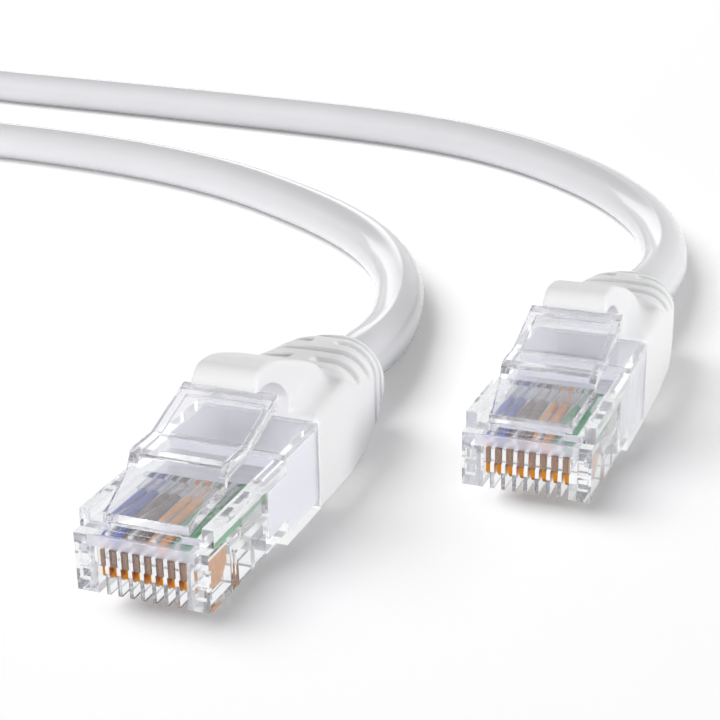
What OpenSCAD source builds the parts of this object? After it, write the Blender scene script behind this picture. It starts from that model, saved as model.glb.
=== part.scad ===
// Ethernet patch lead: two clear eight-way modular plugs with snagless boots,
// joined by one round cable whose middle is wound in a flat coil. Sizes are in
// millimetres. Z = 0 is the surface that the lead lies on, and the origin lies
// midway between the two plugs.
//
// Each plug is drawn in a frame of its own: X across it, Y back from its front
// face and Z up from the surface, with the latch on top.

/* [Plug body] */
// Width of the plug
plug_w = 11.68; // [11.4:0.02:12.4]
// Length of the plug, front face to back face
plug_len = 21.46; // [20.6:0.02:23]
// Height of the nose that enters the jack
nose_h = 6.6; // [6.4:0.05:6.9]
// Height of the nose's low front step
step_h = 5.05; // [4.9:0.05:5.2]
// Length of the nose's low front step
step_len = 1.1; // [0.9:0.05:1.4]
// Length of the nose, front face to the thicker rear block
nose_len = 14.3; // [13.6:0.1:15]
// Height of the rear block
rear_h = 8.36; // [8.2:0.02:8.9]
// How far the rear block hangs below the nose
rear_drop = 1.25; // [0.9:0.05:1.3]
// Thickness of the rear block's walls
rear_wall = 0.75; // [0.5:0.05:0.8]
// Width of each rail beside the latch
rail_w = 0.99; // [0.7:0.01:1.05]
// How far the deck under the latch lies below the rails
deck_drop = 0.9; // [0.7:0.05:0.95]

/* [Contacts and conductors] */
// Spacing of the eight contacts
pitch = 1.016; // [0.98:0.002:1.05]
// Thickness of a contact blade
blade_t = 0.35; // [0.25:0.05:0.4]
// Distance from the plug's front face to the blades
blade_in = 0.45; // [0.4:0.05:0.6]
// Length of a blade, front to back
blade_len = 4.05; // [3.6:0.05:4.4]
// Height of a blade below its teeth
blade_h = 2.75; // [2.6:0.05:2.9]
// Width of a contact slot
slot_w = 0.66; // [0.6:0.02:0.72]
// Height of the open part of a slot's front
slot_open = 2.45; // [2.2:0.05:2.7]
// Diameter over a conductor's insulation
wire_d = 0.92; // [0.8:0.02:0.96]
// Wall above the conductors at the front step
wire_roof = 0.17; // [0.15:0.01:0.3]

/* [Latch] */
// Width of the latch at its root
latch_root_w = 7.5; // [6.8:0.1:8]
// Space between the latch and each rail
latch_side = 0.45; // [0.3:0.05:0.6]
// Thickness of the latch's plate
latch_t = 0.75; // [0.6:0.05:0.85]
// Depth of the flanges along the latch's edges
flange_h = 1.05; // [0.9:0.05:1.1]
// Distance from the front face to the catch's riser
catch_y = 6.3; // [6:0.1:6.6]
// Height of the riser at the catch
catch_h = 1.4; // [1.2:0.05:1.5]
// Distance from the front face to the latch's tip
latch_tip_y = 16.6; // [16.3:0.1:16.8]
// Slope of the latch's first stretch, in degrees
latch_slope = 14.5; // [13:0.5:15]
// Slope of the latch's last stretch, in degrees
tip_slope = 19; // [17:0.5:20]

/* [Boot] */
// How far the boot stands out past each side of the plug
boot_over = 0.06; // [0:0.02:0.3]
// Length of the boot without its hood
boot_len = 19.04; // [18:0.1:22]
// Length of the boot's front block
boot_block_len = 8.6; // [7.5:0.1:8.9]
// Wall of the boot at its back end
tail_wall = 1.5; // [1.1:0.05:1.55]
// Number of flex grooves
groove_count = 4; // [2:1:4]
// Width of a flex groove
groove_w = 0.9; // [0.6:0.1:1]
// Depth of a flex groove
groove_depth = 0.55; // [0.3:0.05:0.8]
// Spacing of the flex grooves
groove_pitch = 2.4; // [1.8:0.1:2.5]
// Width of the spine along the top of the tail
spine_w = 2.4; // [1.6:0.1:3]
// Width of the hood
hood_w = 6.14; // [5.4:0.1:6.6]
// Space between the latch's tip and the hood over it
hood_clear = 0.4; // [0.35:0.05:0.6]
// How far the hood reaches forward past the latch's tip
hood_reach = 1.15; // [0.9:0.05:1.3]

/* [Cable] */
// Diameter of the cable
cable_d = 5.6; // [5.2:0.1:5.7]
// Height of the cable's axis above the middle of the rear block
cable_lift = 0.22; // [0:0.02:0.3]
// Turns in the coil: whole turns and a half
coil_turns = 2.5; // [2.5:1:4.5]
// Radius at the middle of the coil's turns
coil_r = 30; // [28:0.5:34]
// Space between two turns that lie side by side or on each other
coil_gap = 0.5; // [0.45:0.05:1]

/* [Placing] */
// Distance between the centre planes of the two plugs
spread_x = 22.6; // [20:0.1:30]
// How far one plug stands ahead of the other
spread_y = 28; // [24:0.1:34]

/* [Clearances] */
// Space round each piece that is seated in another
seat_gap = 0.05; // [0.03:0.01:0.08]
// Space round a piece that swings
swing_gap = 0.3; // [0.2:0.05:0.35]

/* [Hidden] */
SIDES = ["a", "b"];
WAYS = 8;

EXACT = 48;         // makes a true circle
HULL_SIDES = 32;    // sides of a round inside a hull
CROWN_STEP = 15;    // degrees between the corners of the boot's crown
eps = 0.01;         // overlap of a cutting tool past a face

// Heights of the plug's steps above the surface
nose_z = rear_drop;
step_z = nose_z + step_h;
rail_z = nose_z + nose_h;
deck_z = rail_z - deck_drop;

// Conductors: a flat channel holds them side by side under the front step
channel_h = wire_d + 2 * seat_gap;
channel_top = step_z - wire_roof;
channel_z = channel_top - channel_h;
wire_axis_z = channel_top - channel_h / 2;
channel_w = (WAYS - 1) * pitch + wire_d + 4 * seat_gap;
function way_x(i) = (i - (WAYS + 1) / 2) * pitch;

// Contact blades: their teeth cut into the conductors from below
blade_gap = 0.2;
blade_top = wire_axis_z - wire_d / 2 - blade_gap;
blade_z = blade_top - blade_h;
blade_end = blade_in + blade_len;
blade_round = 1.2;
TEETH = [1.3, 2.9];             // from the blade's front edge
tooth_w = 0.5;
tooth_h = blade_gap + wire_d / 4;

// Along the plug, front to back
front_wall = blade_in - 0.1;    // wall in front of the blades
slot_end = blade_end + 0.3;
guide_in = 2.4;
guide_y = slot_end + guide_in;  // front of the wire guide
guide_len = 3.6;
guide_base = 0.75;              // how far the guide reaches below the conductors
seat_y = guide_y + guide_len + 0.5;
seat_mouth = 0.6;               // length of the cable seat's flat mouth
seat_roof = channel_top + 0.12; // top of the space for the cable seat in the nose
jacket_grip = 4.4;              // length of cable inside the cable seat
jacket_y = plug_len - jacket_grip;
jacket_open = 1.1;              // depth to which the cable's end is hollow
bore_d = 4.6;                   // space for the conductors in the cable
boot_end = plug_len + boot_len;
block_end = plug_len + boot_block_len;

// Two blind windows, one above the other, in each margin of the nose's front
window_w = 0.95;
window_h = 1.1;
window_in = 0.5;
window_z = nose_z + 1;
window_gap = 0.35;
window_side = 0.3;              // wall between a window and the plug's side

// Two pockets in the nose's underside, between the contacts and the cable seat
rib = 0.7;
pocket_y = slot_end + rib;
pocket_len = (seat_y - 2 * rib - pocket_y) / 2;
pocket_w = plug_w - 2 * rear_wall;
pocket_low = 1.7;               // height of the wide part
pocket_z = channel_z - guide_base - rib;

// Latch: its profile runs back from the root along three stretches
root_len = 0.5;
hinge_y = step_len + root_len;
hinge_z = deck_z + seat_gap;
latch_w = plug_w - 2 * (rail_w + latch_side);
catch_z = rail_z + (catch_y - step_len) * tan(latch_slope);
catch_t = 0.9;
catch_run = 0.6;
bevel = 0.45;
flat_z = catch_z + catch_h;
flat_len = 4.2;
flat_end = catch_y + flat_len;
tip_z = flat_z + (latch_tip_y - flat_end) * tan(tip_slope);
bar_w = 0.75;                   // bar across the tip
bar_h = 0.4;
flange_t = 0.7;
root_pocket = 0.8;              // hollow in front of and under the root

// Hood: it swings about an axis at its neck and arches over the latch's tip
neck_in = 1.2;
neck_r = 1;
hood_t = 1.65;                  // thickness at the crown
neck_y = plug_len + neck_in;
arch_z = tip_z + hood_clear;
neck_z = arch_z - 1.1;
ridge_z = neck_z + 0.8;
swing_r = norm([neck_in, neck_r]) + swing_gap;  // reach of the hood's lower corner
lip_y = latch_tip_y - hood_reach;
arch_y = lip_y + 1.05;
arch_r = neck_y - arch_y;

// Cable
cable_r = cable_d / 2;
cable_z = rear_h / 2 + cable_lift;
tail_r = cable_r + tail_wall;
tail_top = cable_z + tail_r;
tail_ring = 1.6;                // ring behind the last flex groove
boot_w = plug_w + 2 * boot_over;
block_top = rear_h + 0.95;      // top of the block where the tail starts
tail_crest = block_top + 1.3;
groove_z = 1.6;                 // the flex grooves start at this height

// Rings per turn and sides of the swept tubes
RINGS = 24;
COIL_SIDES = 6;
RUN_SIDES = 10;
WIRE_SIDES = 8;
WIRE_STEPS = 7;

// Coil
COIL_X = -177;
COIL_Y = 102;
coil_lead = cable_d;            // straight length at each end
coil_step = cable_d + coil_gap; // turn to turn, sideways and upwards
coil_out_r = coil_r + coil_step * coil_turns / 4;

// Where each plug stands
function plug_at(s) =
    let (m = s == "a" ? -1 : 1)
    [m * spread_x / 2, m * spread_y / 2 - boot_end / 2, 0];

// Route of each free stretch behind its boot, chosen by hand. The third value
// is the height of the cable's underside.
ROUTE_A = [
    [-11.4, 12.5, 1.4], [-11.8, 18.5, 0.8], [-12.9, 25, 0.2], [-14.5, 31.5, 0],
    [-17, 38.5, 0], [-20.9, 45.8, 0], [-26.3, 52.9, 0], [-33.3, 59.6, 0],
    [-42, 66, 0], [-54, 73.2, 0], [-66, 78.2, 0], [-78, 81.5, 0],
    [-90, 83.6, 0], [-102, 84.8, 0], [-113, 84.6, 0], [-124, 82.9, 0],
    [-135, 79.6, 0], [-146, 75.3, 0], [-156, 71.4, 0], [-164, 69.1, 0]
];
ROUTE_B = [
    [11.3, 40.5, 1.4], [11.3, 47, 0.8], [10.8, 54, 0.2], [9.4, 61.5, 0],
    [6.4, 70.5, 0], [2, 78.8, 0], [-4, 87, 0], [-11.2, 94.3, 0],
    [-20, 101.2, 0], [-29.5, 106.5, 0], [-40, 110.3, 0], [-51, 112.7, 0],
    [-63, 114.4, 0], [-75, 115.8, 0], [-87, 117.1, 0], [-99, 118.3, 0],
    [-112, 119.5, 0], [-125, 120.8, 0], [-136, 123.2, 0.3], [-146, 127, 1.6],
    [-155, 131, 3.5], [-164, 134.6, 5.4]
];

// ------------------------------------------------------------- tube maker

function unit(v) = v / norm(v);
function smooth(t) = let (u = min(1, max(0, t))) u * u * (3 - 2 * u);
function between(a, b, t) = a + (b - a) * t;

// Direction of travel at point i, with the directions of the two ends given
function heading(p, i, first, last) =
    i == 0 ? first :
    i == len(p) - 1 ? last :
    unit(unit(p[i + 1] - p[i]) + unit(p[i] - p[i - 1]));

// One ring of a tube round point c, square to direction d, with a corner on top
function ring(c, d, r, sides) =
    let (a = unit(cross([0, 0, 1], d)), b = cross(d, a))
    [for (k = [0:sides - 1]) let (t = 360 * k / sides) c + r * (cos(t) * b - sin(t) * a)];

// A closed tube of n rings, as triangles
function tube_faces(n, sides) = concat(
    [for (k = [1:sides - 2]) [0, k + 1, k]],
    [for (i = [0:n - 2], k = [0:sides - 1], h = [0, 1])
        let (a = i * sides + k, b = i * sides + (k + 1) % sides)
        h == 0 ? [a, b, b + sides] : [a, b + sides, a + sides]],
    [for (k = [1:sides - 2]) let (e = (n - 1) * sides) [e, e + k, e + k + 1]]
);

module tube(p, r, sides, first, last) {
    rings = [for (i = [0:len(p) - 1]) each ring(p[i], heading(p, i, first, last), r, sides)];
    polyhedron(points = rings, faces = tube_faces(len(p), sides), convexity = 6);
}

// ---------------------------------------------------------- basic shapes

// A block centred on X, given its width and its Y and Z spans
module block(w, y, z) {
    translate([-w / 2, y[0], z[0]]) cube([w, y[1] - y[0], z[1] - z[0]]);
}

// A side view in Y and Z, spread across X to width w
module side_view(w) {
    translate([-w / 2, 0, 0])
        rotate([90, 0, 90])
            linear_extrude(height = w)
                children();
}

// A rod along X
module cross_rod(r, w, y, z) {
    translate([-w / 2, y, z])
        rotate([0, 90, 0])
            cylinder(r = r, h = w, $fn = EXACT);
}

// A rod along Y
module long_rod(r, y, z) {
    translate([0, y[0], z])
        rotate([-90, 0, 0])
            cylinder(r = r, h = y[1] - y[0], $fn = EXACT);
}

module both_sides() {
    for (m = [0, 1])
        mirror([m, 0, 0])
            children();
}

// ------------------------------------------------------------- plug body

// Space for the cable seat, from the middle of the nose to the back face. The
// seat itself lies seat_gap inside it.
module seat_space(gap) {
    w = plug_w - 2 * rear_wall - 2 * gap;
    step = nose_len + rear_wall;
    block(w, [seat_y + gap, step + 2 * gap], [nose_z + rear_wall + gap, seat_roof - gap]);
    block(w, [step + gap, plug_len], [rear_wall + gap, rear_h - rear_wall - gap]);
}

// Each slot is open below, and in front up to a bridge
module contact_slot() {
    block(slot_w, [front_wall, slot_end], [nose_z - eps, wire_axis_z]);
    block(slot_w, [-eps, front_wall + eps], [nose_z - eps, nose_z + slot_open]);
}

module wire_channel() {
    block(channel_w, [front_wall, seat_y + eps], [channel_z, channel_top]);
    block(channel_w, [guide_y - seat_gap, seat_y + eps], [channel_z - guide_base, channel_top]);
}

module underside_pocket() {
    block(pocket_w, [0, pocket_len], [nose_z - eps, nose_z + pocket_low]);
    block(pocket_w - 2 * rib, [0, pocket_len], [nose_z, pocket_z]);
}

module margin_windows() {
    for (k = [0, 1])
        both_sides()
            translate([(plug_w - window_w) / 2 - window_side, 0, 0])
                block(window_w, [-eps, window_in],
                    [window_z, window_z + window_h] + k * (window_h + window_gap) * [1, 1]);
}

module plug_housing() {
    color("azure", 0.35)
    difference() {
        union() {
            block(plug_w, [0, nose_len + eps], [nose_z, step_z]);
            block(plug_w, [step_len, nose_len + eps], [step_z - eps, deck_z]);
            both_sides()
                translate([(plug_w - rail_w) / 2, 0, 0])
                    block(rail_w, [step_len, nose_len + eps], [deck_z - eps, rail_z]);
            block(plug_w, [nose_len, plug_len], [0, rear_h]);
        }
        for (i = [1:WAYS])
            translate([way_x(i), 0, 0]) contact_slot();
        wire_channel();
        margin_windows();
        for (k = [0, 1])
            translate([0, pocket_y + k * (pocket_len + rib), 0]) underside_pocket();
        seat_space(0);
        translate([0, eps, 0]) seat_space(0);
        block(latch_root_w - 2 * rib, [step_len - eps, step_len + root_pocket],
            [step_z + seat_gap, deck_z + eps]);
    }
}

// ----------------------------------------------------------------- latch

module latch_profile() {
    flat_low = flat_z - latch_t;
    bar_y = latch_tip_y - bar_w;
    bar_low = tip_z - bar_w * tan(tip_slope) - latch_t - bar_h;
    polygon([
        [step_len, hinge_z],
        [hinge_y, hinge_z],
        [catch_y, catch_z - catch_t],
        [catch_y + catch_run + bevel, flat_low],
        [flat_end, flat_low],
        [bar_y, bar_low + bar_h],
        [bar_y, bar_low],
        [latch_tip_y, bar_low + bar_h / 2],
        [latch_tip_y, tip_z],
        [flat_end, flat_z],
        [catch_y + catch_run + bevel, flat_z],
        [catch_y + catch_run, flat_z - bevel / 2],
        [catch_y, catch_z],
        [step_len, rail_z]
    ]);
}

module flange_profile() {
    polygon([
        [catch_y, catch_z - catch_t],
        [catch_y + catch_run, flat_z - flange_h - bevel / 2],
        [flat_end, flat_z - flange_h],
        [latch_tip_y, tip_z - flange_h],
        [latch_tip_y, tip_z - bevel / 2],
        [flat_end, flat_z - bevel / 2],
        [catch_y + catch_run, flat_z - bevel]
    ]);
}

// Plan of the latch: it widens from its root to the catch
module latch_plan() {
    r = latch_root_w / 2;
    w = latch_w / 2;
    y = hinge_y + root_len;
    polygon([[-r, step_len], [r, step_len], [r, y], [w, catch_y],
        [w, latch_tip_y], [-w, latch_tip_y], [-w, catch_y], [-r, y]]);
}

module latch() {
    color("azure", 0.35)
    intersection() {
        union() {
            side_view(latch_w) latch_profile();
            both_sides()
                translate([(latch_w - flange_t) / 2, 0, 0])
                    side_view(flange_t) flange_profile();
        }
        linear_extrude(height = tip_z + rib) latch_plan();
    }
}

// -------------------------------------------------- inside the plug body

// The clear bar that holds the conductors side by side
module wire_guide() {
    color("ghostwhite", 0.5)
    difference() {
        block(channel_w - 2 * seat_gap, [guide_y, guide_y + guide_len],
            [channel_z - guide_base + seat_gap, channel_top - seat_gap / 2]);
        for (i = [1:WAYS])
            translate([way_x(i), 0, 0])
                long_rod(wire_d / 2 + seat_gap / 4, [guide_y - eps, guide_y + guide_len + eps],
                    wire_axis_z);
    }
}

// The milky moulding that holds the cable in the back of the plug
module cable_seat() {
    color("lavender")
    difference() {
        seat_space(seat_gap);
        block(channel_w, [seat_y, fan_y + eps], [channel_z, channel_top]);
        block(channel_w, [fan_y, jacket_y], [row_z(2) - wire_d, channel_top]);
        long_rod(cable_r + seat_gap, [jacket_y - seat_gap, plug_len + eps], cable_z);
    }
}

// A flat gold blade with two pairs of teeth and a rounded lower corner
module contact() {
    y = [for (t = TEETH) blade_in + t];
    tip = blade_top + tooth_h;
    color("goldenrod")
    side_view(blade_t)
        polygon([
            [blade_in, blade_top], [blade_in, blade_z + bevel], [blade_in + bevel, blade_z],
            [blade_end - blade_round, blade_z], [blade_end, blade_z + blade_round],
            [blade_end, blade_top],
            [y[1] + tooth_w, blade_top], [y[1] + tooth_w / 2, tip], [y[1], blade_top],
            [y[0] + tooth_w, blade_top], [y[0] + tooth_w / 2, tip], [y[0], blade_top]
        ]);
}

// Each pair is a white conductor with a stripe and one of a plain colour
WIRE_COLOURS = ["lightsteelblue", "royalblue", "gainsboro", "saddlebrown",
    "moccasin", "darkorange", "honeydew", "seagreen"];

// The conductors run side by side as far as fan_y. From there each second one
// sinks into a lower row, and both rows draw together into the cable.
fan_y = seat_y + seat_mouth;
fan_end = jacket_y - 0.7;
row_half = 0.6;
row_pitch = wire_d + 0.06;
function row_z(i) = cable_z + (i % 2 == 1 ? row_half : -row_half);
function row_x(i) = (floor((i - 1) / 2) - (WAYS / 2 - 1) / 2) * row_pitch;
function wire_fan(i, t) = [
    between(way_x(i), row_x(i), smooth((t - 0.25) / 0.75)),
    between(fan_y, fan_end, t),
    between(wire_axis_z, row_z(i), smooth(t / 0.55))
];
function wire_path(i) = concat(
    [[way_x(i), blade_in + seat_gap, wire_axis_z]],
    [for (k = [0:WIRE_STEPS]) wire_fan(i, k / WIRE_STEPS)],
    [[row_x(i), jacket_y + jacket_open - seat_gap, row_z(i)]]
);

module conductor(i) {
    color(WIRE_COLOURS[i - 1])
    difference() {
        tube(wire_path(i), wire_d / 2, WIRE_SIDES, [0, 1, 0], [0, 1, 0]);
        // Cuts made by the teeth of the contact
        for (t = TEETH)
            translate([way_x(i), blade_in + t, 0])
                block(blade_t + 2 * seat_gap, [-seat_gap, tooth_w + seat_gap],
                    [blade_top, blade_top + tooth_h + seat_gap]);
    }
}

// The end of the cable, from the cable seat to the back of the boot
module cable_end() {
    color("whitesmoke")
    difference() {
        long_rod(cable_r, [jacket_y, boot_end], cable_z);
        long_rod(bore_d / 2, [jacket_y - eps, jacket_y + jacket_open], cable_z);
    }
}

// ------------------------------------------------------------------ boot

// One cross-section of the boot: flat sides w apart whose lower corners are cut
// by c, and a crown that rises from the shoulders to the top. The crown is an
// ellipse at a bend of 1 and close to a box at a small bend.
module boot_section(y, w, low, c, shoulder, top, bend) {
    x = w / 2;
    half = [for (a = [0:CROWN_STEP:90])
        [x * pow(cos(a), bend), shoulder + (top - shoulder) * pow(sin(a), bend)]];
    n = len(half) - 1;
    translate([0, y, 0])
        rotate([90, 0, 0])
            linear_extrude(height = eps)
                polygon(concat(
                    [[-x, low + c], [c - x, low], [x - c, low], [x, low + c]],
                    half,
                    [for (k = [1:n]) [-half[n - k][0], half[n - k][1]]]
                ));
}

// The boot's front block is as wide as the plug. Its top climbs gently back to
// the tail, and a ridge as wide as the hood stands on it.
module boot_block() {
    corner = 0.4;
    crest = 0.56;
    hull() {
        boot_section(plug_len + eps, boot_w, 0, corner, rear_h - crest + 0.1, rear_h + 0.1, 0.35);
        boot_section(block_end, boot_w, 0, corner, block_top - crest, block_top, 0.35);
    }
    side_view(hood_w)
        polygon([
            [plug_len, cable_z + cable_r + neck_r],
            [plug_len, neck_z],
            [neck_y + 1.1, ridge_z],
            [between(neck_y, block_end, 0.5), between(ridge_z, tail_crest, 0.4)],
            [block_end + 0.4, tail_crest],
            [block_end + 0.4, cable_z + cable_r + neck_r]
        ]);
}

// The flexible tail runs from the block to a round end, drawn in by d
module boot_tail(d) {
    hull() {
        boot_section(block_end, boot_w - 0.5 - 2 * d, 0.1 + d, 1.6, block_top - 1.3 - d,
            tail_crest - d, 0.8);
        boot_section(between(block_end, boot_end, 0.6), boot_w - 1.7 - 2 * d, 0.15 + d, 1.9,
            tail_top - 2 - d, tail_top + 1.15 - d, 0.9);
        translate([0, boot_end, cable_z])
            rotate([90, 0, 0])
                cylinder(r = tail_r - d, h = eps, $fn = HULL_SIDES);
    }
}

// A flex groove round the tail's sides and top. A spine along the top stays
// whole in each second groove.
module flex_groove(k) {
    difference() {
        block(boot_w + 2, [-groove_w, 0], [groove_z, ridge_z + 2]);
        if (k % 2 == 1)
            block(spine_w, [-groove_w - eps, eps], [cable_z, ridge_z + 3]);
    }
}

module boot() {
    color("white")
    difference() {
        union() {
            boot_block();
            boot_tail(0);
        }
        difference() {
            for (k = [0:groove_count - 1])
                translate([0, boot_end - tail_ring - k * groove_pitch, 0])
                    flex_groove(k);
            boot_tail(groove_depth);
        }
        long_rod(cable_r + seat_gap, [plug_len - eps, boot_end + eps], cable_z);
        // Seat of the hood's neck
        cross_rod(neck_r + swing_gap, hood_w + 2 * swing_gap, neck_y, neck_z);
        block(hood_w + 2 * swing_gap, [plug_len - eps, neck_y], [neck_z - swing_r, ridge_z + 2]);
    }
}

// Side view of the hood: a round lip, and a crown that falls back to the neck
module hood_profile() {
    crown = arch_z + hood_t;
    polygon(concat(
        [
            [neck_y, neck_z - neck_r / 2],
            [neck_y, neck_z + neck_r],
            [neck_y - neck_in - hood_t / 2, arch_z + hood_t / 2],
            [lip_y + 2 * hood_t, crown - 0.15]
        ],
        [for (a = [75:15:180]) [lip_y + hood_t * (1 + cos(a)), crown - hood_t * (1 - sin(a))]],
        [
            [lip_y, arch_z - neck_r / 2],
            [neck_y - neck_in - eps, neck_z - neck_r]
        ]
    ));
}

module boot_hood() {
    color("white")
    difference() {
        union() {
            cross_rod(neck_r, hood_w, neck_y, neck_z);
            side_view(hood_w) hood_profile();
        }
        cross_rod(arch_r, hood_w + 2, arch_y, arch_z - arch_r);
    }
}

// ----------------------------------------------------------------- cable

coil_in = [COIL_X + coil_lead, COIL_Y - coil_out_r, cable_r];
coil_out = [COIL_X + coil_lead, COIL_Y + coil_out_r, cable_r + coil_step];

// A free stretch starts at its boot's end and stops at the coil
module cable_run(s) {
    route = [for (p = s == "a" ? ROUTE_A : ROUTE_B) p + [0, 0, cable_r]];
    start = plug_at(s) + [0, boot_end, cable_z];
    stop = s == "a" ? coil_in : coil_out;
    color("whitesmoke")
    tube(concat([start], route, [stop]), cable_r, RUN_SIDES, [0, 1, 0], [-1, 0, 0]);
}

// The coil turns clockwise from above, starting on the side of the plugs. It
// spirals in on the surface, climbs a layer in the half turn round its middle,
// and spirals out again on top.
function coil_radius(t) = coil_out_r - coil_step * min(t, coil_turns - t);
function coil_height(t) = cable_r + coil_step * smooth((t - coil_turns / 2) * 2 + 0.5);
function coil_point(t) = [
    COIL_X - coil_radius(t) * sin(360 * t),
    COIL_Y - coil_radius(t) * cos(360 * t),
    coil_height(t)
];
coil_path = concat(
    [coil_in],
    [for (k = [0:coil_turns * RINGS]) coil_point(k / RINGS)],
    [coil_out]
);

// Least space between two turns: every pair at least half a turn apart
coil_last = len(coil_path) - 1;
echo(coil_least_gap = min([
    for (i = [0:coil_last - RINGS / 2], j = [i + RINGS / 2:coil_last])
        norm(coil_path[j] - coil_path[i])
]) - cable_d);

module cable_coil() {
    color("whitesmoke")
    tube(coil_path, cable_r, COIL_SIDES, [-1, 0, 0], [1, 0, 0]);
}

// ------------------------------------------------------------- assembly

for (s = SIDES) {
    translate(plug_at(s)) {
        plug_housing();
        latch();
        wire_guide();
        cable_seat();
        cable_end();
        boot();
        boot_hood();
        for (i = [1:WAYS]) {
            translate([way_x(i), 0, 0]) contact();
            conductor(i);
        }
    }
    cable_run(s);
}
cable_coil();
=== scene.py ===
# %% [markdown]
# # Ethernet patch lead
#
# The lead's solids come ready made, in metres and in their final places. This
# file gives them their looks: one cable, two moulded boots with hoods, clear
# plugs, eight coloured conductors and eight gold contacts a plug.
#
# Each plug is described in millimetres in a frame of its own, with X across
# it, Y back from its front face and Z up. One function moves it to its place.

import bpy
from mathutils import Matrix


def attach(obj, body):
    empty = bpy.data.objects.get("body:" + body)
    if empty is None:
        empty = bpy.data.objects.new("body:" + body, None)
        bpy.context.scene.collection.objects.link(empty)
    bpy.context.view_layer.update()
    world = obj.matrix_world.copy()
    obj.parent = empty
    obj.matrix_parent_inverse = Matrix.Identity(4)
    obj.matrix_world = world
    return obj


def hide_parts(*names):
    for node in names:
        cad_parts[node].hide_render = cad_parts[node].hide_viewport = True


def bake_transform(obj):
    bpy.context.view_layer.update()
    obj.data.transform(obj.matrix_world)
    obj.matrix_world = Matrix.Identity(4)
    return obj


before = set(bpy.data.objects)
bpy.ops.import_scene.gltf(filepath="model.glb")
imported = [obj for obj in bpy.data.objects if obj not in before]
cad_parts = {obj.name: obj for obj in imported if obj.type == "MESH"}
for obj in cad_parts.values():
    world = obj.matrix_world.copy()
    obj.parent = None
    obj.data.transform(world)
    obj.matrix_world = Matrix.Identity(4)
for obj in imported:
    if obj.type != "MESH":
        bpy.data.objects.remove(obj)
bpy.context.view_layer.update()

import bmesh
import bpy
import numpy as np

MM = 0.001
PLUG_AT = {"a": np.array([-11.3, -34.25, 0.0]), "b": np.array([11.3, -6.25, 0.0])}
SIDES = ("a", "b")


def placed(points, side):
    """Points in the frame of one plug, in millimetres, moved to its place in metres."""
    return (np.asarray(points, float) + PLUG_AT[side]) * MM


# %% [markdown]
# ## Camera
#
# A camera could be aimed with a Track To constraint, but its roll and its lens
# matter here, so its three axes are worked out from yaw, pitch and roll and go
# straight into its matrix. The lens is long, which keeps the plugs from
# looking stretched.

# %% Camera
EYE = (0.04580, -0.13009, 0.06486)
YAW, PITCH, ROLL = np.radians([21.94, -21.66, -1.06])
LENS_MM, SENSOR_MM = 81.03, 36.0

ahead = np.array([-np.sin(YAW) * np.cos(PITCH), np.cos(YAW) * np.cos(PITCH), np.sin(PITCH)])
level = np.array([np.cos(YAW), np.sin(YAW), 0.0])
above = np.cross(level, ahead)
across = np.cos(ROLL) * level + np.sin(ROLL) * above
upward = np.cos(ROLL) * above - np.sin(ROLL) * level

camera_matrix = np.identity(4)
camera_matrix[:3, :3] = np.column_stack([across, upward, -ahead])
camera_matrix[:3, 3] = EYE

lens = bpy.data.cameras.new("camera")
lens.sensor_width = SENSOR_MM
lens.lens = LENS_MM
lens.clip_start = 0.005
camera = bpy.data.objects.new("camera", lens)
bpy.context.scene.collection.objects.link(camera)
camera.matrix_world = camera_matrix.T.tolist()
bpy.context.scene.camera = camera
print("camera at", EYE, "aimed along", ahead.round(3))

# %% [markdown]
# ## Surfaces from arrays
#
# Every new piece is a stack of rings: ring after ring of points, all worked
# out at once with numpy. Quads join each ring to the next one, and a fan of
# triangles to a middle point closes each end. Modelling by hand would give the
# same faces, but here a size is changed by changing one number.

# %% Skin over a stack of rings
def outward(points, faces):
    """True if the faces point out: six times the volume under them is the sum of each
    triangle's first corner dotted with the cross product of the other two."""
    total = 0.0
    for k in range(1, faces.shape[1] - 1):
        a, b, c = points[faces[:, 0]], points[faces[:, k]], points[faces[:, k + 1]]
        total += np.einsum("ij,ij->i", a, np.cross(b, c)).sum()
    return total > 0


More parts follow.
